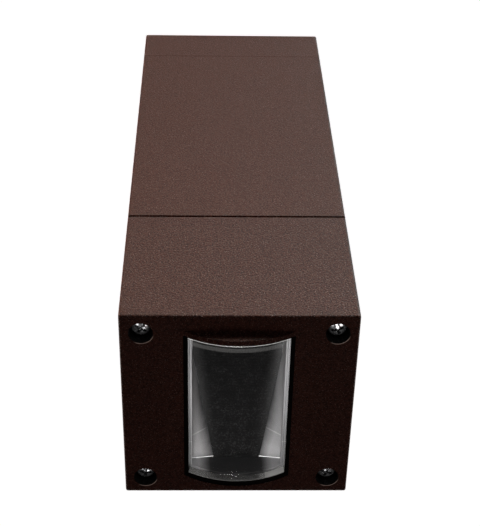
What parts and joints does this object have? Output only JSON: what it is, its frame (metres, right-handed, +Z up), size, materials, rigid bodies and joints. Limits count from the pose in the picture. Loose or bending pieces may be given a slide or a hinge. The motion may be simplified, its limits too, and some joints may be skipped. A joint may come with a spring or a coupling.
{
  "type": "bollard light",
  "caption": "Short square post light: a cast foot, an extruded column and a cast head with a bulging glass window in its top end.",
  "frame": {"origin": "centre of the foot's underside, on the ground", "axes": "+Z up along the post; the window is long along Y, and the optic slopes down towards -Y"},
  "size_m": [0.11, 0.11, 0.3075],
  "materials": {
    "powder_coat": "fine-textured dark bronze powder coat",
    "black_rubber": "matte",
    "brass": "plain",
    "black_steel": "black zinc plated",
    "zinc_steel": "zinc plated",
    "glass": "clear",
    "bright_aluminium": "bright anodised",
    "sink_aluminium": "plain extruded",
    "dark_optic": "fine prismatic",
    "board_white": "white solder resist",
    "pad_grey": "silicone",
    "led_yellow": "phosphor",
    "white_plastic": "moulded",
    "grey_plastic": "moulded",
    "terminal_plastic": "moulded",
    "lead_red": "insulation",
    "lead_blue": "insulation",
    "lead_green": "insulation"
  },
  "bodies": {
    "base": {"foot": "powder_coat", "entry_grommet": "black_rubber", "earth_stud": "brass"},
    "column": {"column": "powder_coat", "column_set_screws": "black_steel"},
    "head": {"head_housing": "powder_coat", "joint_gasket": "black_rubber", "glass_seal": "black_rubber", "sealing_washers": "black_rubber", "terminal_screws": "brass", "earth_lug": "brass", "head_screws": "black_steel", "glass": "glass", "glass_frame": "bright_aluminium", "reflector": "bright_aluminium", "heat_sink": "sink_aluminium", "optic_plate": "dark_optic", "led_board": "board_white", "thermal_pad": "pad_grey", "led_emitters": "led_yellow", "led_connector": "white_plastic", "frame_screws": "zinc_steel", "sink_screws": "zinc_steel", "driver_screws": "zinc_steel", "grip_screws": "zinc_steel", "earth_screw": "zinc_steel", "gear_tray": "zinc_steel", "driver_case": "white_plastic", "driver_cover": "grey_plastic", "terminal_block": "terminal_plastic", "cord_grip": "grey_plastic", "led_leads": "lead_red", "supply_leads": "lead_blue", "earth_lead": "lead_green"}
  },
  "joints": [
    {"name": "column_lift", "type": "slide", "parent": "base", "child": "column", "axis": [0, 0, 1], "range_m": [0, 0.045]},
    {"name": "head_lift", "type": "slide", "parent": "column", "child": "head", "axis": [0, 0, 1], "range_m": [0, 0.16]}
  ]
}
